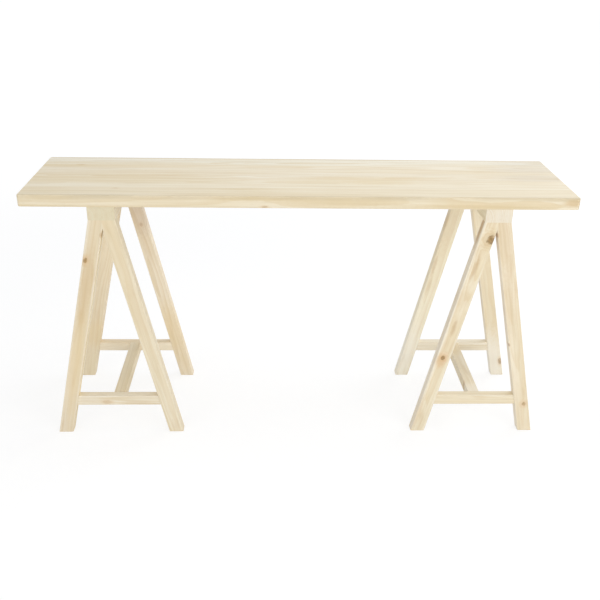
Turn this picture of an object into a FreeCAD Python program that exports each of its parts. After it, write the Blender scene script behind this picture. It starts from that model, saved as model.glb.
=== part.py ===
"""A trestle table: a loose plank top that lies on two rigid A-frame trestles.

X runs along the table, Y from the front to the rear and Z up. The origin is on the floor, under the middle
of the top.
"""
import FreeCAD, Part
import math
import os
import re

import Sketcher

# Driving sizes, in millimetres and degrees.
SIZES = {
    # the whole table
    "table_height": 800,
    "trestle_inset": 230,  # from the end of the top to the middle of a trestle
    "trestle_setback": 3,  # from the edge of the top back to the face of the legs
    # the top and its boards
    "top_length": 1600,
    "top_thickness": 35,
    "top_corner": 8,  # radius of the corners, seen from above
    "top_arris": 3,  # radius of the softened edges
    "board_width": 78,
    "tongue_thickness": 10,
    "tongue_depth": 9,
    # the head beam, as wide as the two legs under it
    "beam_height": 40,
    "beam_arris": 1.5,
    # the legs
    "leg_width": 44,  # square to the leg, across the face of the A
    "leg_depth": 32,  # front to back
    "leg_splay": 12.5,  # degrees from the vertical
    "leg_mitre": 6,  # cut off each leg where the two meet under the beam
    "leg_arris": 2.5,
    "foot_arris": 1.5,  # round the end that stands on the floor
    "leg_tenon_width": 20,
    "leg_tenon_depth": 18,
    "leg_tenon_height": 28,
    # the stretcher between the legs of one A
    "stretcher_rise": 101,  # from the floor to its underside
    "stretcher_height": 33,
    "stretcher_thickness": 26,
    "stretcher_arris": 2,
    "stretcher_tenon_height": 20,
    "stretcher_tenon_thickness": 11,
    "stretcher_tenon_length": 20,
    # the centre bar between the two stretchers
    "bar_width": 36,
    "bar_height": 30,
    "bar_arris": 2,
    "bar_tenon_width": 20,
    "bar_tenon_height": 16,
    "bar_tenon_length": 13,
    # room for the glue round each tenon and tongue
    "glue_gap": 0.15,
}

BOARD_COUNT = 5
SIDES = {"left": -1, "right": 1}
ENDS = {"front": -1, "rear": 1}
HALF_TURN = 180
STRAIGHT = 1e-6
SKETCH_START = 100

# Heights and reaches that follow from the driving sizes.
TOP_DEPTH = f"(board_width * {BOARD_COUNT})"
TRESTLE_PLACE = "(top_length / 2 - trestle_inset)"
UNDER_TOP = "(table_height - top_thickness)"
UNDER_BEAM = f"({UNDER_TOP} - beam_height)"
BEAM_LENGTH = f"({TOP_DEPTH} - 2 * trestle_setback)"
FRAME_PLANE = f"({BEAM_LENGTH} / 2 - leg_depth / 2)"
LEG_LEVEL_WIDTH = "(leg_width / cos(leg_splay))"
LEG_HEAD = f"({LEG_LEVEL_WIDTH} - leg_mitre)"
STRETCHER_MIDDLE = "(stretcher_rise + stretcher_height / 2)"
STRETCHER_TOP = "(stretcher_rise + stretcher_height)"
BAR_SPAN = f"(2 * {FRAME_PLANE} - stretcher_thickness)"

doc = FreeCAD.newDocument("trestle_table")
sheet = doc.addObject("Spreadsheet::Sheet", "Sizes")
for row, (size, value) in enumerate(SIZES.items(), start=1):
    sheet.set(f"A{row}", size)
    sheet.set(f"B{row}", str(value))
    sheet.setAlias(f"B{row}", size)
doc.recompute()


def cells(formula):
    """Point each size that a formula names at its cell of the sheet."""
    return re.sub(r"[a-z]\w*", lambda word: f"Sizes.{word[0]}" if word[0] in SIZES else word[0], formula)


def leg_outside(height):
    """How far a leg's outer face stands from the middle of the trestle, at one height."""
    return f"({LEG_HEAD} + ({UNDER_BEAM} - {height}) * tan(leg_splay))"


def leg_inside(height):
    """How far a leg's inner face stands from the middle of the trestle, at one height."""
    return f"({leg_outside(height)} - {LEG_LEVEL_WIDTH})"


def rectangle(left, right, low, high):
    return [(left, low), (right, low), (right, high), (left, high)]


def new_body(name, place, turn=0):
    """A sub-part, turned about the vertical and set where the formulas say."""
    body = doc.addObject("PartDesign::Body", name)
    body.Label = name
    body.Placement = FreeCAD.Placement(FreeCAD.Vector(), FreeCAD.Rotation(FreeCAD.Vector(0, 0, 1), turn))
    for axis, formula in zip("xyz", place):
        body.setExpression(f"Placement.Base.{axis}", cells(formula))
    return body


def draw(body, plane, *outlines):
    """Sketch closed outlines on an origin plane, with each corner held by two formulas."""
    sketch = body.newObject("Sketcher::SketchObject", "Outline")
    support = [item for item in body.Origin.OriginFeatures if item.Role == plane]
    sketch.AttachmentSupport = [(support[0], "")]
    sketch.MapMode = "FlatFace"
    for corners in outlines:
        first = sketch.GeometryCount
        count = len(corners)
        angles = [2 * math.pi * step / count for step in range(count)]
        start = [FreeCAD.Vector(math.cos(a), math.sin(a), 0) * SKETCH_START for a in angles]
        for step in range(count):
            sketch.addGeometry(Part.LineSegment(start[step], start[(step + 1) % count]))
        for step, formulas in enumerate(corners):
            after = first + (step + 1) % count
            sketch.addConstraint(Sketcher.Constraint("Coincident", first + step, 2, after, 1))
            for kind, formula, now in zip(("DistanceX", "DistanceY"), formulas, start[step]):
                held = sketch.addConstraint(Sketcher.Constraint(kind, first + step, 1, now))
                sketch.setExpression(f"Constraints[{held}]", cells(formula))
    return sketch


def pad(body, sketch, length):
    """Raise a sketch by half of a length to each side of its plane."""
    feature = body.newObject("PartDesign::Pad", "Pad")
    feature.Profile = sketch
    feature.SideType = "Symmetric"
    feature.setExpression("Length", cells(length))
    doc.recompute()
    return feature


def pocket(body, sketch, depth, side="One side"):
    """Sink a sketch into the solid, in line with the plane's normal or to both sides of it."""
    before = body.Shape.Volume
    feature = body.newObject("PartDesign::Pocket", "Pocket")
    feature.Profile = sketch
    feature.SideType = side
    feature.Reversed = side == "One side"
    feature.setExpression("Length", cells(depth))
    doc.recompute()
    if not body.Shape.Volume < before:
        raise RuntimeError(f"{body.Label}: a pocket cuts nothing")
    return feature


def soften(body, base, radius, chosen):
    """Round the edges of a feature that the test picks out."""
    names = [f"Edge{n}" for n, edge in enumerate(base.Shape.Edges, start=1) if chosen(edge)]
    feature = body.newObject("PartDesign::Fillet", "Arris")
    feature.Base = (base, names)
    feature.setExpression("Radius", cells(radius))
    doc.recompute()
    return feature


def along(direction):
    """A test for straight edges that run in one direction."""
    def chosen(edge):
        run = edge.Vertexes[-1].Point - edge.Vertexes[0].Point
        return edge.Curve.TypeId == "Part::GeomLine" and run.cross(direction).Length < STRAIGHT * run.Length
    return chosen


def make_board(number):
    """A board of the top, grooved in front and tongued behind. The outermost edges stay plain and soft."""
    outer_front = number == 1
    outer_rear = number == BOARD_COUNT
    tongue_low = "(top_thickness - tongue_thickness) / 2"
    tongue_high = "(top_thickness + tongue_thickness) / 2"
    tongue_end = "board_width + tongue_depth"
    groove_end = "tongue_depth + glue_gap"
    groove_low = f"{tongue_low} - glue_gap"
    groove_high = f"{tongue_high} + glue_gap"
    tongue = [("board_width", tongue_low), (tongue_end, tongue_low),
              (tongue_end, tongue_high), ("board_width", tongue_high)]
    groove = [("0", groove_high), (groove_end, groove_high), (groove_end, groove_low), ("0", groove_low)]
    section = [("0", "0"), ("board_width", "0")]
    section += [] if outer_rear else tongue
    section += [("board_width", "top_thickness"), ("0", "top_thickness")]
    section += [] if outer_front else groove

    front_edge = f"{number - 1} * board_width - {TOP_DEPTH} / 2"
    body = new_body(f"top_board_{number}", ("0", front_edge, UNDER_TOP))
    shape = pad(body, draw(body, "YZ_Plane", section), "top_length")
    outer_y = 0 if outer_front else SIZES["board_width"]

    def on_outer_edge(point):
        return (outer_front or outer_rear) and abs(point.y - outer_y) < STRAIGHT

    def on_end(point):
        return abs(abs(point.x) - SIZES["top_length"] / 2) < STRAIGHT

    def on_face(point):
        return min(abs(point.z), abs(point.z - SIZES["top_thickness"])) < STRAIGHT

    def is_corner(edge):
        upright = along(FreeCAD.Vector(0, 0, 1))(edge)
        return upright and on_outer_edge(edge.CenterOfMass) and on_end(edge.CenterOfMass)

    def is_rim(edge):
        middle = edge.CenterOfMass
        rounded = edge.Curve.TypeId == "Part::GeomCircle"
        return on_face(middle) and (rounded or on_outer_edge(middle) or on_end(middle))

    if outer_front or outer_rear:
        shape = soften(body, shape, "top_corner", is_corner)
    soften(body, shape, "top_arris", is_rim)
    return body


def make_beam(side):
    """The head beam, with a blind mortise in its underside for each leg."""
    body = new_body(f"{side}_head_beam", (f"{SIDES[side]} * {TRESTLE_PLACE}", "0", UNDER_BEAM))
    section = rectangle(f"-{LEG_HEAD}", LEG_HEAD, "0", "beam_height")
    shape = pad(body, draw(body, "XZ_Plane", section), BEAM_LENGTH)
    soften(body, shape, "beam_arris", lambda edge: not along(FreeCAD.Vector(1, 0, 0))(edge))
    half_width = "(leg_tenon_width / 2 + glue_gap)"
    half_depth = "(leg_tenon_depth / 2 + glue_gap)"
    mortises = []
    for across in SIDES.values():
        for deep in ENDS.values():
            x = f"{across} * {LEG_HEAD} / 2"
            y = f"{deep} * {FRAME_PLANE}"
            mortises.append(rectangle(f"{x} - {half_width}", f"{x} + {half_width}",
                                      f"{y} - {half_depth}", f"{y} + {half_depth}"))
    pocket(body, draw(body, "XY_Plane", *mortises), "leg_tenon_height + glue_gap")
    return body


def make_leg(side, end, reach):
    """A splayed leg, cut level at both ends, mitred against its partner and tenoned upright into the beam."""
    outward = SIDES[side] if reach == "outer" else -SIDES[side]
    place = (f"{SIDES[side]} * {TRESTLE_PLACE}", f"{ENDS[end]} * {FRAME_PLANE}", "0")
    body = new_body(f"{side}_{end}_{reach}_leg", place, 0 if outward > 0 else HALF_TURN)
    face = [(leg_outside("0"), "0"), (LEG_HEAD, UNDER_BEAM), ("0", UNDER_BEAM),
            ("0", f"{UNDER_BEAM} - leg_mitre / tan(leg_splay)"), (leg_inside("0"), "0")]
    shape = pad(body, draw(body, "XZ_Plane", face), "leg_depth")
    lean = math.radians(SIZES["leg_splay"])
    shape = soften(body, shape, "leg_arris", along(FreeCAD.Vector(math.sin(lean), 0, -math.cos(lean))))
    soften(body, shape, "foot_arris", lambda edge: abs(edge.CenterOfMass.z) < STRAIGHT)
    tenon = rectangle(f"{LEG_HEAD} / 2 - leg_tenon_width / 2", f"{LEG_HEAD} / 2 + leg_tenon_width / 2",
                      UNDER_BEAM, f"{UNDER_BEAM} + leg_tenon_height")
    pad(body, draw(body, "XZ_Plane", tenon), "leg_tenon_depth")
    half_mortise = "(stretcher_tenon_height / 2 + glue_gap)"
    mortise = rectangle(f"{leg_inside(STRETCHER_TOP)} / 2",
                        f"{leg_inside(STRETCHER_MIDDLE)} + stretcher_tenon_length + glue_gap",
                        f"{STRETCHER_MIDDLE} - {half_mortise}", f"{STRETCHER_MIDDLE} + {half_mortise}")
    pocket(body, draw(body, "XZ_Plane", mortise), "stretcher_tenon_thickness + 2 * glue_gap", "Symmetric")
    return body


def make_stretcher(side, end):
    """The rail across one A. Its shoulders lean with the legs, and its inner face takes the centre bar."""
    place = (f"{SIDES[side]} * {TRESTLE_PLACE}", f"{ENDS[end]} * {FRAME_PLANE}", "0")
    body = new_body(f"{side}_{end}_stretcher", place, 0 if end == "front" else HALF_TURN)
    low, high = leg_inside("stretcher_rise"), leg_inside(STRETCHER_TOP)
    face = [(f"-{low}", "stretcher_rise"), (low, "stretcher_rise"),
            (high, STRETCHER_TOP), (f"-{high}", STRETCHER_TOP)]
    shape = pad(body, draw(body, "XZ_Plane", face), "stretcher_thickness")
    soften(body, shape, "stretcher_arris", along(FreeCAD.Vector(1, 0, 0)))
    tenon_end = f"({leg_inside(STRETCHER_MIDDLE)} + stretcher_tenon_length)"
    tenon = rectangle(f"-{tenon_end}", tenon_end, f"{STRETCHER_MIDDLE} - stretcher_tenon_height / 2",
                      f"{STRETCHER_MIDDLE} + stretcher_tenon_height / 2")
    pad(body, draw(body, "XZ_Plane", tenon), "stretcher_tenon_thickness")
    half_width = "(bar_tenon_width / 2 + glue_gap)"
    bar_middle = f"({STRETCHER_TOP} - bar_height / 2)"
    half_height = "(bar_tenon_height / 2 + glue_gap)"
    mortise = rectangle(f"-{half_width}", half_width,
                        f"{bar_middle} - {half_height}", f"{bar_middle} + {half_height}")
    sunk = draw(body, "XZ_Plane", mortise)
    sunk.setExpression("AttachmentOffset.Base.z", cells("-stretcher_thickness / 2"))
    doc.recompute()
    pocket(body, sunk, "bar_tenon_length + glue_gap")
    return body


def make_bar(side):
    """The centre bar, level with the tops of the stretchers that it joins."""
    body = new_body(f"{side}_centre_bar", (f"{SIDES[side]} * {TRESTLE_PLACE}", "0", STRETCHER_TOP))
    section = rectangle("-bar_width / 2", "bar_width / 2", "-bar_height", "0")
    shape = pad(body, draw(body, "XZ_Plane", section), BAR_SPAN)
    soften(body, shape, "bar_arris", along(FreeCAD.Vector(0, 1, 0)))
    tenon = rectangle("-bar_tenon_width / 2", "bar_tenon_width / 2",
                      "-bar_height / 2 - bar_tenon_height / 2", "-bar_height / 2 + bar_tenon_height / 2")
    pad(body, draw(body, "XZ_Plane", tenon), f"{BAR_SPAN} + 2 * bar_tenon_length")
    return body


def make_trestle(side):
    """One trestle: the beam, the legs of both As, their stretchers and the centre bar."""
    pieces = [make_beam(side), make_bar(side)]
    for end in ENDS:
        pieces.append(make_stretcher(side, end))
        pieces += [make_leg(side, end, reach) for reach in ("outer", "inner")]
    return pieces


sub_parts = [make_board(number) for number in range(1, BOARD_COUNT + 1)]
for side in SIDES:
    sub_parts += make_trestle(side)
doc.recompute()

for item in doc.Objects:
    if {"Invalid", "Error"} & set(item.State):
        raise RuntimeError(f"{item.Label} failed: {item.State}")
for body in sub_parts:
    if body.Shape.isNull() or not body.Shape.isValid() or len(body.Shape.Solids) != 1:
        raise RuntimeError(f"{body.Label} is not one sound solid")

os.makedirs("parts", exist_ok=True)
for body in sub_parts:
    body.Shape.exportStep(f"parts/{body.Label}.step")
print(f"{len(sub_parts)} sub-parts")
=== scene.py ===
"""Pale pine trestle table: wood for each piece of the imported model, studio light, floor and camera."""

import math
import random

import bmesh
import bpy
from mathutils import Matrix, Vector


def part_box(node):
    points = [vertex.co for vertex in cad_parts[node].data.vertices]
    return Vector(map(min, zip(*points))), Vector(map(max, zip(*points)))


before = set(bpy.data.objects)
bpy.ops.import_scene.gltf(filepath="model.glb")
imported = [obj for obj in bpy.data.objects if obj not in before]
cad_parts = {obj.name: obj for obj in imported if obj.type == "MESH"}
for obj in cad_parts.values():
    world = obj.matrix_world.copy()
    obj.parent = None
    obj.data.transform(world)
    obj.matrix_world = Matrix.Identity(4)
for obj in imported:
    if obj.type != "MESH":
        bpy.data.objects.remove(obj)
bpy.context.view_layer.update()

MM = 0.001
ENDLESS = 1e6
QUARTER_TURN = math.radians(90)

# Faces that the marks in the wood are placed on, in metres
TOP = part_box("top_board_1")[1].z
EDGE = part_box("top_board_1")[0].y
LEG_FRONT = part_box("left_front_outer_leg")[0].y
LEG_SIDE = LEG_FRONT + 17 * MM
LEG_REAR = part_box("left_rear_outer_leg")[0].y
RAIL_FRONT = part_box("left_front_stretcher")[0].y
RAIL_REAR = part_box("left_rear_stretcher")[0].y


def shade(red, green, blue):
    """A colour as seen on a screen, 0 to 255, in the linear values that Blender works with."""
    linear = [((c / 255 + 0.055) / 1.055) ** 2.4 for c in (red, green, blue)]
    return (*linear, 1.0)


# Colours of the pine, with the painted light and shade that some of them carry
LATEWOOD = shade(221, 196, 148)
HEARTWOOD = shade(228, 206, 160)
FIBRE_SHADE = shade(214, 194, 151)
# Brown stain of the wood; along the top of the left rear stretcher it is painted shade
STAIN_AND_SHADE = shade(207, 174, 120)
EDGE_SHADE = shade(213, 188, 134)
ARRIS_SHADE = shade(203, 186, 150)
RESIN = shade(176, 132, 84)
# Brown streak of the wood; at the legs' crotches it is painted shade, and on a leg's side under the beam
# painted shade over a stain
BROWN_STREAK = shade(196, 160, 106)
KNOT_CORE = shade(172, 136, 86)
KNOT_HEART = shade(124, 98, 56)
KNOT_RIM = shade(108, 86, 54)
KNOT_HALO = shade(222, 186, 138)
END_GRAIN = shade(232, 211, 174)
PALE_END = shade(240, 234, 222)
GREY_END = shade(220, 211, 179)
# Painted highlight along the trestles' eased edges, where the arrises catch the light
PAINTED_ARRIS_HIGHLIGHT = shade(247, 239, 220)
# Paler tones painted on narrow faces in shade, which is painted light; the honey one also lightens a foot
PALE_SIDE_LIGHT = shade(252, 244, 229)
WARM_SIDE_LIGHT = shade(255, 246, 218)
HONEY_PAINTED_LIGHT = shade(254, 241, 208)
ASH_GREY = shade(208, 197, 182)
# Near white; on the feet of the right rear legs it is painted light over the shade near the floor
PALE_LIFT = shade(255, 251, 240)
HONEY = shade(238, 212, 160)
# Painted shade for the top of a rear leg under the table top
ROSE_PAINTED_SHADE = shade(200, 174, 152)


class Wire:
    """A socket in a node tree. Arithmetic with it adds Math nodes, and node() adds any other kind."""

    def __init__(self, tree, socket=None):
        self.tree = tree
        self.socket = socket

    def node(self, kind, settings=None, sockets=None, output=0):
        """Adds a node, sets it up, feeds its sockets and returns one of its outputs."""
        made = self.tree.nodes.new(kind)
        for name, value in (settings or {}).items():
            setattr(made, name, value)
        for name, value in (sockets or {}).items():
            if isinstance(value, Wire):
                self.tree.links.new(value.socket, made.inputs[name])
            else:
                made.inputs[name].default_value = value
        if not made.outputs:
            return None
        return Wire(self.tree, made.outputs[output])

    def maths(self, operation, first, second=0.0):
        """One sum on plain values."""
        return self.node("ShaderNodeMath", {"operation": operation}, {0: first, 1: second})

    def __add__(self, other):
        return self.maths("ADD", self, other)

    def __sub__(self, other):
        return self.maths("SUBTRACT", self, other)

    def __rsub__(self, other):
        return self.maths("SUBTRACT", other, self)

    def __mul__(self, other):
        return self.maths("MULTIPLY", self, other)

    def __truediv__(self, other):
        return self.maths("DIVIDE", self, other)

    def __rtruediv__(self, other):
        return self.maths("DIVIDE", other, self)

    __radd__ = __add__
    __rmul__ = __mul__

    def __abs__(self):
        return self.maths("ABSOLUTE", self)

    def rise(self, low, high):
        """A soft step: 0 up to low, 1 from high on."""
        settings = {"interpolation_type": "SMOOTHSTEP"}
        return self.node("ShaderNodeMapRange", settings, {"Value": self, "From Min": low, "From Max": high})

    def fall(self, low, high):
        """A soft step down: 1 up to low, 0 from high on."""
        return 1 - self.rise(low, high)

    def blend(self, first, second):
        """The first colour where this value is 0, the second where it is 1."""
        return self.node("ShaderNodeMix", {"data_type": "RGBA"}, {0: self, 6: first, 7: second}, 2)

    def vector(self, operation, other):
        """One sum on these coordinates, axis by axis."""
        return self.node("ShaderNodeVectorMath", {"operation": operation}, {0: self, 1: other})

    def length(self):
        """How far these coordinates lie from the origin."""
        return self.node("ShaderNodeVectorMath", {"operation": "LENGTH"}, {0: self}, 1)

    def placed(self, location, turn, scale=(1, 1, 1)):
        """These coordinates as read from a frame at that place, turn and scale."""
        sockets = {"Vector": self, "Location": location, "Rotation": turn, "Scale": scale}
        return self.node("ShaderNodeMapping", {"vector_type": "TEXTURE"}, sockets)

    def noise(self, stretch, detail=2.0, output="Fac"):
        """Soft noise over these coordinates, with that many bumps per unit along each axis."""
        sockets = {"Vector": self.vector("MULTIPLY", stretch), "Scale": 1.0, "Detail": detail}
        return self.node("ShaderNodeTexNoise", {}, sockets, output)


class Mark:
    """A branch through the timber with another tone round it, or with no dark only that tone.

    The place is in metres on the table. wide and tall are the branch's sizes across and along the grain,
    in millimetres. dark is the strength of the branch. halo, spread and tint are the strength, reach and
    colour of the tone round it: other wood, and in some streaks painted light or shade. The branch runs
    out from the pith, or along the aim where one is given.
    """

    def __init__(self, place, wide, tall, dark, halo, spread=2.4, tint=KNOT_HALO, aim=None):
        self.place = Vector(place)
        self.wide = wide
        self.tall = tall
        self.dark = dark
        self.halo = halo
        self.spread = spread
        self.tint = tint
        self.aim = aim


# Where a streak has faded out, by the reach, which is 1 at its border
STREAK_SPREAD = 1.8


def streak(place, wide, tall, strength, tint=STAIN_AND_SHADE, aim=None):
    """A patch of another tone with no branch in it: other wood, and in some places painted light or shade.
    """
    return Mark(place, wide, tall, 0.0, strength, STREAK_SPREAD, tint, aim)


# Ranges that the seed of a piece draws from
PITH_AWAY = (36, 60)
PITH_HIGH = (-15, 15)
GRAIN_LEAN = (-0.012, 0.012)
RING_WIDTH = (3.2, 4.2)


class Wood:
    """What sets one piece's wood apart from its neighbour's.

    contrast, warmth and blotch are the strengths of year rings, heartwood and stains, from 0 to 1. pith is
    where the trunk's middle lies beside the piece, in millimetres, lean is the slope of the grain, and ring
    is the width of a year in millimetres. The seed draws those of the three that aren't given. arris is the
    colour along the piece's long edges, or with upper_only along the upper ones, and its width is in
    millimetres: on the trestles a painted highlight, on the top a darker band. The narrow faces' sapwood,
    where one is given, is a paler tone: painted light over the shade they lie in. end is the colour of
    end grain.
    """

    def __init__(self, seed, sapwood, contrast, warmth, blotch, marks=(), pith=None, lean=None, ring=None,
                 arris=PAINTED_ARRIS_HIGHLIGHT, arris_width=4.5, arris_strength=0.25, upper_only=False,
                 edge=None, end=END_GRAIN):
        draw = random.Random(seed)
        self.seed = seed
        self.sapwood = sapwood
        self.contrast = contrast
        self.warmth = warmth
        self.blotch = blotch
        self.marks = marks
        self.pith = pith or (draw.choice((-1, 1)) * draw.uniform(*PITH_AWAY), draw.uniform(*PITH_HIGH))
        self.lean = lean or (draw.uniform(*GRAIN_LEAN), draw.uniform(*GRAIN_LEAN))
        self.ring = ring or draw.uniform(*RING_WIDTH)
        self.arris = arris
        self.arris_width = arris_width
        self.arris_strength = arris_strength
        self.upper_only = upper_only
        self.edge = edge
        self.end = end


class Timber:
    """How one piece lies in its tree: the grain's frame, half sizes in millimetres, and its own wood.

    The frame's X runs along the grain. aside is how far the piece lies from the middle of its panel, and
    edge_axis is the axis that the narrow faces look along, where painted side light is laid.
    """

    def __init__(self, centre, turn, half, wood):
        self.centre = Vector(centre)
        self.turn = Matrix.Rotation(turn[1], 3, turn[0]).to_euler()
        self.half = half
        self.wood = wood
        self.aside = 0.0
        self.edge_axis = 1

    def inside(self, place):
        """A place on the table, in millimetres in the grain's frame."""
        return self.turn.to_matrix().transposed() @ (Vector(place) - self.centre) / MM


def branch_turn(timber, mark):
    """Turns a frame so that Z runs out from the pith or along the mark's aim, and X near the grain."""
    if mark.aim:
        outward = (timber.turn.to_matrix().transposed() @ Vector(mark.aim)).normalized()
    else:
        centre = timber.inside(mark.place)
        outward = (centre - Vector((centre.x, *timber.wood.pith))).normalized()
    grain = Vector((1, 0, 0))
    grain = (grain - outward * grain.dot(outward)).normalized()
    side = outward.cross(grain)
    return Matrix((grain, side, outward)).transposed().to_euler()


# Noises in the wood, in bumps per millimetre along the grain and across it
FIBRE = (0.010, 0.90, 0.90)
SILK = (0.0030, 0.10, 0.10)
CLOUD = (0.0011, 0.018, 0.018)
GNARL = (0.10, 0.14, 0.14)
SWAY = (0.0016, 0.010, 0.010)
RIPPLE = (0.010, 0.05, 0.05)
BLOTCH = (0.007, 0.055, 0.055)
DUCT = (0.05, 1.7, 1.7)
ARRIS_PATCHES = (0.005, 0.02, 0.02)
BARK = (0.16, 0.16, 0.16)

NOISE_MIDDLE = 0.5

# How far the noises are shifted from one seed to the next, in millimetres
SEED_STEP = (731.0, 97.0, 53.0)

# How far the rings sway and ripple, in millimetres, and how a knot pushes them aside
SWAY_REACH = 26
RIPPLE_REACH = 3
KNOT_PUSH = 0.6
KNOT_PUSH_RANGE = (0.2, 3.4)

# Growth over one year, and how it differs from year to year
SUMMER = (0.20, 0.86)
WINTER = (0.90, 1.00)
PACE_SCALE = 0.05
PACE_YEARS = 3.0
POOREST_YEAR = 0.3

# Where the other wood in the noises starts and is full, and its strengths
HEART_CLOUD = (0.42, 0.72)
SILK_SHADOW = (0.30, 0.55)
SILK_STRENGTH = 0.30
FIBRE_SHADOW = (0.20, 0.50)
FIBRE_STRENGTH = 0.22
STAINED = (0.54, 0.76)
DUCT_CORE = (0.70, 0.80)
DUCT_STRENGTH = 0.30

# Layers of a knot, by the reach, which is 1 at the border of the branch
MARK_FRAY = 0.5
MARK_GNARL = 0.8
HALO_INNER = 0.4
CORE_RANGE = (0.50, 1.15)
CORE_STRENGTH = 0.9
HEART_RANGE = (0.10, 0.75)
HEART_BARK = (0.35, 0.60)
HEART_STRENGTH = 0.7
RIM_INNER = (0.40, 0.85)
RIM_OUTER = (0.90, 1.30)
RIM_BARK = (0.32, 0.62)
RIM_STRENGTH = 0.8

# Depths under a face where the painted side light and the end-grain tone start and are full, in millimetres
SIDE_LIGHT_START = 1.2
SIDE_LIGHT_FULL = 0.4
END_START = 0.8
END_FULL = 0.2
END_STRENGTH = 0.60
END_RINGS = 0.50

# Patchiness of the arris tone along the arrises, and the share of an arris from which its tone is full
ARRIS_PATCHY = (0.30, 0.70)
ARRIS_LEAST = 0.4
ARRIS_MORE = 0.9
ARRIS_FULL = 0.25

# Surface of planed, unvarnished pine
PLANED_ROUGHNESS = 0.62
LATE_POLISH = 0.10
FIBRE_ROUGHNESS = 0.15
END_ROUGHNESS = 0.15
SHEEN = 0.35
LATE_HEIGHT = 0.5
FIBRE_HEIGHT = 0.6
DUCT_DEPTH = 0.3
RELIEF_STRENGTH = 0.25
RELIEF_DEPTH = 0.4 * MM


def mark_fields(timber, local, fibre, gnarl):
    """Each mark with its reach, which is 0 in its middle, 1 at its border and grows away from it."""
    fields = []
    for mark in timber.wood.marks:
        size = (mark.tall / 2, mark.wide / 2, ENDLESS)
        reach = local.placed(timber.inside(mark.place), branch_turn(timber, mark), size).length()
        frayed = reach + (fibre - NOISE_MIDDLE) * MARK_FRAY + (gnarl - NOISE_MIDDLE) * MARK_GNARL
        fields.append((mark, frayed))
    return fields


def year_rings(wood, local, own, marks):
    """How much latewood there is, from 0 in a year's spring wood to 1 in its summer wood."""
    middle = (NOISE_MIDDLE, NOISE_MIDDLE, NOISE_MIDDLE)
    sway = own.noise(SWAY, detail=1.0, output="Color").vector("SUBTRACT", middle)
    ripple = own.noise(RIPPLE, output="Color").vector("SUBTRACT", middle)
    bent = local.vector("ADD", sway.vector("MULTIPLY", (0, SWAY_REACH, SWAY_REACH)))
    bent = bent.vector("ADD", ripple.vector("MULTIPLY", (0, RIPPLE_REACH, RIPPLE_REACH)))
    trunk = bent.placed((0, *wood.pith), (0, *wood.lean))
    radius = trunk.vector("MULTIPLY", (0, 1, 1)).length()
    for mark, reach in marks:
        if mark.dark:
            radius = radius + reach.fall(*KNOT_PUSH_RANGE) * (mark.wide * mark.dark * KNOT_PUSH)
    pace = local.node("ShaderNodeTexNoise", {"noise_dimensions": "1D"}, {
        "W": radius * PACE_SCALE + wood.seed, "Scale": 1.0, "Detail": 2.0})
    count = radius / wood.ring + pace * PACE_YEARS
    season = count.maths("FRACT", count)
    year = count.maths("FLOOR", count)
    vigour = local.node("ShaderNodeTexWhiteNoise", {"noise_dimensions": "1D"}, {"W": year + wood.seed})
    growth = vigour * (1 - POOREST_YEAR) + POOREST_YEAR
    return season.rise(*SUMMER) * season.fall(*WINTER) * growth


def paint_marks(colour, marks, bark):
    """Lays each mark over the wood: its halo, then a branch's brown core, dark heart and broken rim."""
    for mark, reach in marks:
        halo = reach.fall(HALO_INNER, mark.spread) * mark.halo
        colour = halo.blend(colour, mark.tint)
        if mark.dark:
            core = reach.fall(*CORE_RANGE) * mark.dark
            heart = reach.fall(*HEART_RANGE) * bark.rise(*HEART_BARK) * mark.dark
            rim = reach.rise(*RIM_INNER) * reach.fall(*RIM_OUTER) * bark.rise(*RIM_BARK) * mark.dark
            colour = (core * CORE_STRENGTH).blend(colour, KNOT_CORE)
            colour = (heart * HEART_STRENGTH).blend(colour, KNOT_HEART)
            colour = (rim * RIM_STRENGTH).blend(colour, KNOT_RIM)
    return colour


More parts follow.
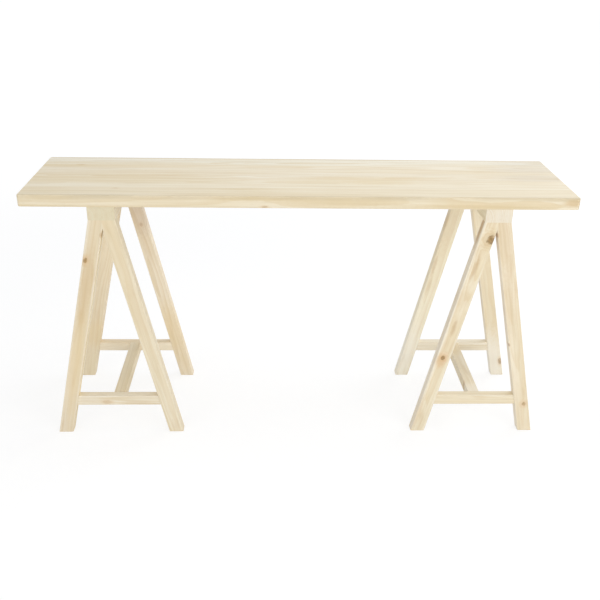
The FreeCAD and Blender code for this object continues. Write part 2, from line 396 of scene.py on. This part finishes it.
def pine(name, timber):
    """Solid pine: growth rings round the pith, fibres, resin ducts, knots, eased arrises and end grain,
    with a painted highlight on the trestles' arrises, a darker band on the top's, and painted light on
    shaded sides.
    """
    wood = timber.wood
    material = bpy.data.materials.new(name + "_pine")
    material.use_nodes = True
    tree = material.node_tree
    tree.nodes.clear()
    start = Wire(tree)
    table = start.node("ShaderNodeTexCoord", output="Object")
    local = table.placed(timber.centre, timber.turn, (MM, MM, MM))
    own = local.vector("ADD", [wood.seed * step for step in SEED_STEP])

    fibre = own.noise(FIBRE, detail=3.0)
    silk = own.noise(SILK, detail=3.0)
    cloud = own.noise(CLOUD)
    marks = mark_fields(timber, local, fibre, own.noise(GNARL))
    late = year_rings(wood, local, own, marks)

    panel = local.vector("ADD", (0, timber.aside, 0))
    along, deep, high = [start.node("ShaderNodeSeparateXYZ", {}, {0: panel}, axis) for axis in range(3)]
    along = abs(along)
    deep = abs(deep)
    if not wood.upper_only:
        high = abs(high)
    half_along, half_deep, half_high = timber.half

    sapwood = wood.sapwood
    # Painted light: the narrow faces, which lie in shade, take a paler sapwood
    if wood.edge:
        half = timber.half[timber.edge_axis]
        narrow = (along, deep, high)[timber.edge_axis].rise(half - SIDE_LIGHT_START, half - SIDE_LIGHT_FULL)
        sapwood = narrow.blend(sapwood, wood.edge)
    colour = (late * wood.contrast).blend(sapwood, LATEWOOD)
    colour = (cloud.rise(*HEART_CLOUD) * wood.warmth).blend(colour, HEARTWOOD)
    colour = (silk.fall(*SILK_SHADOW) * SILK_STRENGTH).blend(colour, FIBRE_SHADE)
    colour = (fibre.fall(*FIBRE_SHADOW) * FIBRE_STRENGTH).blend(colour, FIBRE_SHADE)
    colour = (own.noise(BLOTCH).rise(*STAINED) * wood.blotch).blend(colour, STAIN_AND_SHADE)
    duct = own.noise(DUCT, detail=1.0).rise(*DUCT_CORE)
    colour = (duct * DUCT_STRENGTH).blend(colour, RESIN)

    # Arris tone, patchy along its length: a painted highlight on the trestles' edges, a darker band along
    # the top's upper edges
    arris_patches = own.noise(ARRIS_PATCHES).rise(*ARRIS_PATCHY) * ARRIS_MORE + ARRIS_LEAST
    full = wood.arris_width * ARRIS_FULL
    arris = deep.rise(half_deep - wood.arris_width, half_deep - full)
    arris = arris * high.rise(half_high - wood.arris_width, half_high - full) * arris_patches
    colour = (arris * wood.arris_strength).blend(colour, wood.arris)
    end = along.rise(half_along - END_START, half_along - END_FULL)
    colour = (end * END_STRENGTH).blend(colour, (late * END_RINGS).blend(wood.end, LATEWOOD))
    colour = paint_marks(colour, marks, own.noise(BARK))

    roughness = PLANED_ROUGHNESS - late * LATE_POLISH + (fibre - NOISE_MIDDLE) * FIBRE_ROUGHNESS
    roughness = roughness + end * END_ROUGHNESS
    height = late * LATE_HEIGHT + fibre * FIBRE_HEIGHT - duct * DUCT_DEPTH
    relief = start.node("ShaderNodeBump", {}, {
        "Strength": RELIEF_STRENGTH, "Distance": RELIEF_DEPTH, "Height": height})
    surface = start.node("ShaderNodeBsdfPrincipled", {}, {
        "Base Color": colour, "Roughness": roughness, "Normal": relief, "Specular IOR Level": SHEEN})
    start.node("ShaderNodeOutputMaterial", {}, {"Surface": surface})
    return material


# How far up from the floor a point still belongs to the sole of a leg
SOLE_DEPTH = 2 * MM


def half_sizes(low, high, order):
    """Half of a piece's length, depth and height in millimetres, in the order of the grain's frame."""
    span = (high - low) / 2 / MM
    return [span[axis] for axis in order]


def level_timber(node, wood):
    """A stretcher, whose grain runs along the table."""
    low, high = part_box(node)
    return Timber((low + high) / 2, ("Z", 0.0), half_sizes(low, high, (0, 1, 2)), wood)


def board_timber(node, wood):
    """A board of the top. Its arrises are those of the whole top, because the seams are planed flush."""
    timber = level_timber(node, wood)
    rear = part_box("top_board_5")[1].y
    timber.aside = (timber.centre.y - (EDGE + rear) / 2) / MM
    timber.half[1] = (rear - EDGE) / 2 / MM
    return timber


def cross_timber(node, wood):
    """A head beam or centre bar, whose grain runs from front to back."""
    low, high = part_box(node)
    return Timber((low + high) / 2, ("Z", QUARTER_TURN), half_sizes(low, high, (1, 0, 2)), wood)


def leg_timber(node, wood):
    """A leg, whose grain leans with it towards the middle of its trestle."""
    low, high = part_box(node)
    beam_low, beam_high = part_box(node.split("_")[0] + "_head_beam")
    middle = (beam_low.x + beam_high.x) / 2
    points = [point.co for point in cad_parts[node].data.vertices]
    sole = [point.x for point in points if point.z < low.z + SOLE_DEPTH]
    inward = 1 if sole[0] < middle else -1
    foot = (min(sole) + max(sole)) / 2
    spread = max(abs(x - middle) for x in sole) - (beam_high.x - beam_low.x) / 2
    splay = math.atan2(spread, beam_low.z - low.z)
    rise = (high.z - low.z) / 2
    centre = Vector((foot + inward * rise * math.tan(splay), (low.y + high.y) / 2, low.z + rise))
    width = (max(sole) - min(sole)) * math.cos(splay)
    half = (rise / math.cos(splay) / MM, (high.y - low.y) / 2 / MM, width / 2 / MM)
    timber = Timber(centre, ("Y", inward * splay - QUARTER_TURN), half, wood)
    timber.edge_axis = 2
    return timber


# Directions that a mark may run in
UP = (0, 0, 1)
OUT_FRONT = (0, -1, 0)
OUT_LEFT = (-1, 0, 0)
ROUND_CORNER = (1, 1, 0)

# Wood of the boards, front to rear
PANEL = {"arris": ARRIS_SHADE, "arris_width": 15.0, "arris_strength": 0.45, "upper_only": True}
BOARDS = {
    "top_board_1": Wood(1, shade(243, 232, 207), 0.50, 0.30, 0.10, [
        Mark((-0.536, -0.127, TOP), 7, 16, 0.12, 0.25, aim=UP),
        Mark((-0.107, EDGE, 0.769), 6, 16, 0.22, 0.4),
        streak((-0.720, EDGE, 0.793), 10, 160, 0.30, EDGE_SHADE, OUT_FRONT),
        streak((-0.140, EDGE, 0.793), 10, 150, 0.38, EDGE_SHADE, OUT_FRONT),
        streak((0.100, EDGE, 0.785), 18, 260, 0.38, EDGE_SHADE, OUT_FRONT),
        streak((0.480, EDGE, 0.774), 10, 340, 0.35, EDGE_SHADE, OUT_FRONT),
        streak((0.781, EDGE, 0.785), 18, 32, 0.55, STAIN_AND_SHADE, ROUND_CORNER)],
        pith=(44, 6), lean=(0.010, 0.006), ring=3.8, **PANEL),
    "top_board_2": Wood(2, shade(245, 235, 212), 0.40, 0.15, 0.08, [
        streak((-0.620, -0.056, TOP), 44, 700, 0.32, HEARTWOOD, UP),
        streak((0.060, -0.052, TOP), 38, 260, 0.28, HEARTWOOD, UP),
        streak((0.240, -0.054, TOP), 40, 180, 0.40, HEARTWOOD, UP)],
        pith=(12, -70), lean=(-0.008, 0.012), ring=4.2, **PANEL),
    "top_board_3": Wood(3, shade(246, 237, 217), 0.50, 0.40, 0.12, [
        streak((-0.640, -0.004, TOP), 62, 640, 0.32, HEARTWOOD, UP),
        streak((0.200, -0.020, TOP), 36, 400, 0.50, HEARTWOOD, UP),
        streak((0.730, 0.000, TOP), 60, 200, 0.28, ASH_GREY, UP)],
        pith=(-6, 52), lean=(0.012, -0.008), ring=3.6, **PANEL),
    "top_board_4": Wood(4, shade(245, 235, 213), 0.45, 0.30, 0.12, [
        Mark((-0.683, 0.108, TOP), 9, 20, 0.10, 0.4),
        streak((-0.600, 0.098, TOP), 32, 420, 0.35, HEARTWOOD, UP),
        streak((0.740, 0.090, TOP), 70, 220, 0.28, ASH_GREY, UP)],
        pith=(22, -58), lean=(-0.006, -0.012), ring=4.0, **PANEL),
    "top_board_5": Wood(5, shade(246, 240, 223), 0.40, 0.20, 0.08, [
        streak((-0.560, 0.130, TOP), 26, 640, 0.40, HEARTWOOD, UP),
        streak((0.560, 0.132, TOP), 24, 420, 0.25, HEARTWOOD, UP),
        streak((0.760, 0.155, TOP), 70, 220, 0.24, ASH_GREY, UP)],
        pith=(-10, 64), lean=(0.008, 0.010), ring=4.4, **PANEL),
}

# Wood of the trestles; the paler tones given for narrow sides are painted light over their shade
LIGHT = shade(249, 241, 222)
PALE = shade(246, 236, 214)
MID = shade(244, 233, 208)
WARM = shade(242, 230, 205)
TRESTLES = {
    "left_head_beam": Wood(23, PALE, 0.40, 0.20, 0.15, end=GREY_END),
    "left_front_outer_leg": Wood(11, shade(240, 228, 206), 0.50, 0.50, 0.35, [
        Mark((-0.628, LEG_FRONT, 0.601), 11, 16, 0.80, 0.7, 3.4),
        # Painted shade: a dark spot where the two front legs meet
        streak((-0.573, LEG_FRONT, 0.679), 9, 16, 0.60, BROWN_STREAK),
        streak((-0.634, LEG_FRONT, 0.520), 26, 220, 0.34),
        streak((-0.694, LEG_FRONT, 0.240), 50, 300, 0.25, HONEY)],
        # The leg's side in the crotch takes painted light, a paler tone over its shade
        pith=(46, 14), arris_width=8, arris_strength=0.45, edge=HONEY_PAINTED_LIGHT),
    "left_front_inner_leg": Wood(12, MID, 0.50, 0.30, 0.30, [
        streak((-0.486, LEG_FRONT, 0.430), 30, 200, 0.15),
        streak((-0.530, LEG_FRONT, 0.620), 30, 110, 0.06)]),
    "left_rear_outer_leg": Wood(13, shade(244, 230, 203), 0.40, 0.20, 0.20, [
        streak((-0.701, LEG_REAR, 0.172), 60, 90, 0.35, HONEY),
        # Painted light: a paler foot, over the shade near the floor
        streak((-0.728, LEG_REAR, 0.040), 60, 110, 0.45, HONEY_PAINTED_LIGHT)]),
    "left_rear_inner_leg": Wood(14, shade(250, 238, 216), 0.45, 0.30, 0.30, [
        Mark((-0.520, LEG_REAR, 0.582), 9, 12, 0.15, 0.5),
        streak((-0.506, LEG_REAR, 0.510), 24, 120, 0.20),
        # Painted shade: the top of the leg darker under the table top
        streak((-0.526, LEG_REAR, 0.622), 60, 124, 0.36, ROSE_PAINTED_SHADE),
        streak((-0.430, LEG_REAR, 0.180), 60, 190, 0.40, HONEY),
        streak((-0.399, LEG_REAR, 0.047), 26, 70, 0.24, HONEY)], pith=(48, 8)),
    "left_front_stretcher": Wood(21, PALE, 0.50, 0.30, 0.25, [
        Mark((-0.607, RAIL_FRONT, 0.113), 12, 26, 0.10, 0.4)], pith=(40, 12)),
    "left_rear_stretcher": Wood(22, shade(254, 243, 220), 0.10, 0.10, 0.15, [
        # Painted shade: the top of the stretcher darker, under the table top
        streak((-0.600, RAIL_REAR, 0.136), 9, 320, 0.30, STAIN_AND_SHADE, OUT_FRONT)]),
    "left_centre_bar": Wood(25, MID, 0.50, 0.50, 0.30),
    # The beam's sides take painted light, a paler tone over the shade under the top
    "right_head_beam": Wood(24, WARM, 0.38, 0.30, 0.12, edge=WARM_SIDE_LIGHT, end=PALE_END),
    "right_front_outer_leg": Wood(16, shade(245, 234, 211), 0.40, 0.30, 0.25, [
        Mark((0.731, LEG_FRONT, 0.103), 11, 14, 0.45, 0.6, 3.4),
        Mark((0.655, LEG_FRONT, 0.321), 6, 10, 0.35, 0.4),
        # Painted shade: a dark spot where the two front legs meet
        streak((0.572, LEG_FRONT, 0.684), 7, 14, 0.60, BROWN_STREAK),
        streak((0.650, LEG_FRONT, 0.517), 9, 60, 0.25),
        streak((0.596, LEG_FRONT, 0.671), 38, 180, 0.32),
        streak((0.636, LEG_FRONT, 0.455), 34, 170, 0.20)], pith=(50, 10), edge=PALE_SIDE_LIGHT),
    "right_front_inner_leg": Wood(15, MID, 0.50, 0.40, 0.35, [
        Mark((0.554, LEG_FRONT, 0.672), 20, 27, 0.9, 0.60, 3.0, STAIN_AND_SHADE),
        streak((0.530, LEG_FRONT, 0.640), 34, 60, 0.20),
        streak((0.518, LEG_FRONT, 0.580), 12, 66, 0.55, BROWN_STREAK),
        streak((0.493, LEG_FRONT, 0.478), 34, 60, 0.22),
        streak((0.475, LEG_FRONT, 0.380), 11, 46, 0.45, BROWN_STREAK),
        # Painted shade on the leg's side at the top, under the beam, over a brown stain
        streak((0.526, LEG_SIDE, 0.700), 18, 90, 0.80, BROWN_STREAK, OUT_LEFT),
        streak((0.446, LEG_FRONT, 0.264), 26, 44, 0.62, KNOT_HALO),
        Mark((0.452, LEG_FRONT, 0.275), 12, 15, 0.70, 0.8, 4.0),
        streak((0.390, LEG_FRONT, 0.066), 14, 110, 0.30)],
        pith=(44, -6), arris_width=8, arris_strength=0.60, edge=PALE_SIDE_LIGHT),
    "right_rear_outer_leg": Wood(18, MID, 0.50, 0.30, 0.25, [
        # Painted light: a paler foot, over the shade near the floor
        streak((0.722, LEG_REAR, 0.060), 80, 200, 0.65, PALE_LIFT),
        Mark((0.751, LEG_REAR, 0.059), 12, 24, 0.50, 0.5)], pith=(52, -12), edge=PALE_SIDE_LIGHT),
    "right_rear_inner_leg": Wood(17, shade(255, 248, 226), 0.25, 0.10, 0.10, [
        streak((0.505, LEG_REAR, 0.600), 60, 240, 0.26),
        streak((0.484, LEG_REAR, 0.440), 60, 220, 0.20, HEARTWOOD),
        streak((0.500, LEG_REAR, 0.598), 9, 50, 0.35, BROWN_STREAK),
        streak((0.475, LEG_REAR, 0.437), 10, 60, 0.30, BROWN_STREAK),
        streak((0.462, LEG_REAR, 0.361), 9, 50, 0.20, BROWN_STREAK),
        # Painted light: a paler foot, over the shade near the floor
        streak((0.400, LEG_REAR, 0.080), 70, 200, 0.50, PALE_LIFT)]),
    "right_front_stretcher": Wood(19, MID, 0.45, 0.30, 0.25),
    "right_rear_stretcher": Wood(20, LIGHT, 0.30, 0.15, 0.15),
    "right_centre_bar": Wood(26, LIGHT, 0.40, 0.30, 0.25, [
        streak((0.570, 0.130, 0.134), 50, 90, 0.45, HONEY, UP),
        streak((0.570, -0.150, 0.134), 50, 60, 0.40, PALE_LIFT, UP),
        Mark((0.549, -0.107, 0.134), 8, 14, 0.25, 0.5, aim=UP)]),
}


def timber_of(node):
    """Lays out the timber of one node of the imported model."""
    if node in BOARDS:
        return board_timber(node, BOARDS[node])
    if node.endswith("leg"):
        return leg_timber(node, TRESTLES[node])
    if node.endswith("stretcher"):
        return level_timber(node, TRESTLES[node])
    return cross_timber(node, TRESTLES[node])


def finish_pieces():
    """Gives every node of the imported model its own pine."""
    for node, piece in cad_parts.items():
        piece.data.materials.clear()
        piece.data.materials.append(pine(node, timber_of(node)))


# Light, at a level where a colour renders about as it is written
WHITE = (1.0, 1.0, 1.0, 1.0)
SKY = (0.561, 0.570, 0.587, 1.0)
WARM_LAMP = (1.0, 0.975, 0.93)
COOL_LAMP = (0.97, 1.0, 1.05)

# Lamps, each with its place, aim, size in metres, power in watts and tint
LAMPS = {
    "overhead": (Vector((0.3, 0.1, 2.9)), Vector((0.2, 0.05, 0.8)), 1.4, 11.0, COOL_LAMP),
    "front_right_key": (Vector((2.1, -2.9, 1.5)), Vector((0.2, 0.0, 0.45)), 2.4, 40.0, WARM_LAMP),
    "front_left_fill": (Vector((-2.2, -3.0, 1.1)), Vector((-0.2, 0.0, 0.4)), 2.4, 25.0, WARM_LAMP),
    "rear_right_sheen": (Vector((2.9, 1.8, 2.2)), Vector((0.2, 0.0, 0.8)), 2.4, 36.0, COOL_LAMP),
}

# Floor: half size in metres, paint as a light and to the eye, and glow to the eye, stronger further out
FLOOR_REACH = 40.0
FLOOR_BOUNCE = 0.80
FLOOR_SHADOW = 0.28
FLOOR_WHITE = 0.77
FLOOR_CLEAR = 0.10
FLOOR_CLEARING = (1.2, 5.0)


def seen_directly(start):
    """1 where the camera, a reflection or glass looks at the surface, 0 where it only lights something."""
    seen = 0.0
    for ray in ("Is Camera Ray", "Is Glossy Ray", "Is Transmission Ray"):
        seen = start.maths("MAXIMUM", start.node("ShaderNodeLightPath", output=ray), seen)
    return seen


def light_studio():
    """An even sky that looks white, and a few large soft lamps."""
    world = bpy.data.worlds.new("studio_sky")
    world.use_nodes = True
    world.node_tree.nodes.clear()
    start = Wire(world.node_tree)
    seen = seen_directly(start)
    sky = start.node("ShaderNodeBackground", {}, {"Color": seen.blend(SKY, WHITE), "Strength": 1.0})
    start.node("ShaderNodeOutputWorld", {}, {"Surface": sky})
    bpy.context.scene.world = world

    for name, (place, aim, size, power, tint) in LAMPS.items():
        lamp = bpy.data.lights.new(name, "AREA")
        lamp.size = size
        lamp.color = tint
        lamp.energy = power
        stand = bpy.data.objects.new(name, lamp)
        stand.location = place
        stand.rotation_euler = (aim - place).to_track_quat("-Z", "Y").to_euler()
        bpy.context.scene.collection.objects.link(stand)


def lay_floor():
    """A plain white floor that keeps the table's soft shadow."""
    mesh = bpy.data.meshes.new("floor")
    shape = bmesh.new()
    bmesh.ops.create_grid(shape, x_segments=1, y_segments=1, size=FLOOR_REACH)
    shape.to_mesh(mesh)
    shape.free()
    floor = bpy.data.objects.new("floor", mesh)
    bpy.context.scene.collection.objects.link(floor)
    material = bpy.data.materials.new("white_floor")
    material.use_nodes = True
    material.node_tree.nodes.clear()
    start = Wire(material.node_tree)
    seen = seen_directly(start)
    paint = FLOOR_BOUNCE + seen * (FLOOR_SHADOW - FLOOR_BOUNCE)
    away = start.node("ShaderNodeTexCoord", output="Object").length().rise(*FLOOR_CLEARING)
    glow = seen * (FLOOR_WHITE + away * FLOOR_CLEAR)
    matt = start.node("ShaderNodeBsdfPrincipled", {}, {
        "Base Color": paint, "Roughness": 1.0, "Specular IOR Level": 0.0,
        "Emission Color": glow, "Emission Strength": 1.0})
    start.node("ShaderNodeOutputMaterial", {}, {"Surface": matt})
    mesh.materials.append(material)


# Camera, fitted to the outline of the table in a photo of 600 by 600 pixels
PHOTO_PIXELS = 600
FOCAL_PIXELS = 793.27
SENSOR_WIDTH = 36.0
CAMERA_PLACE = Vector((-0.08702, -2.33780, 1.51078))
CAMERA_PITCH = 0.44939
CAMERA_YAW = 0.04029
CAMERA_ROLL = 0.01981


def set_camera():
    """Puts the camera where the photo was taken from."""
    lens = bpy.data.cameras.new("photo_camera")
    lens.sensor_width = SENSOR_WIDTH
    lens.lens = FOCAL_PIXELS * SENSOR_WIDTH / PHOTO_PIXELS
    ahead = Vector((math.sin(CAMERA_YAW) * math.cos(CAMERA_PITCH),
                    math.cos(CAMERA_YAW) * math.cos(CAMERA_PITCH),
                    -math.sin(CAMERA_PITCH)))
    level = Vector((math.cos(CAMERA_YAW), -math.sin(CAMERA_YAW), 0))
    upright = level.cross(ahead)
    right = level * math.cos(CAMERA_ROLL) + upright * math.sin(CAMERA_ROLL)
    up = upright * math.cos(CAMERA_ROLL) - level * math.sin(CAMERA_ROLL)
    turn = Matrix((right, up, -ahead)).transposed()
    camera = bpy.data.objects.new("photo_camera", lens)
    camera.matrix_world = Matrix.Translation(CAMERA_PLACE) @ turn.to_4x4()
    bpy.context.scene.collection.objects.link(camera)
    bpy.context.scene.camera = camera


finish_pieces()
light_studio()
lay_floor()
set_camera()
bpy.context.scene.view_settings.view_transform = "Standard"
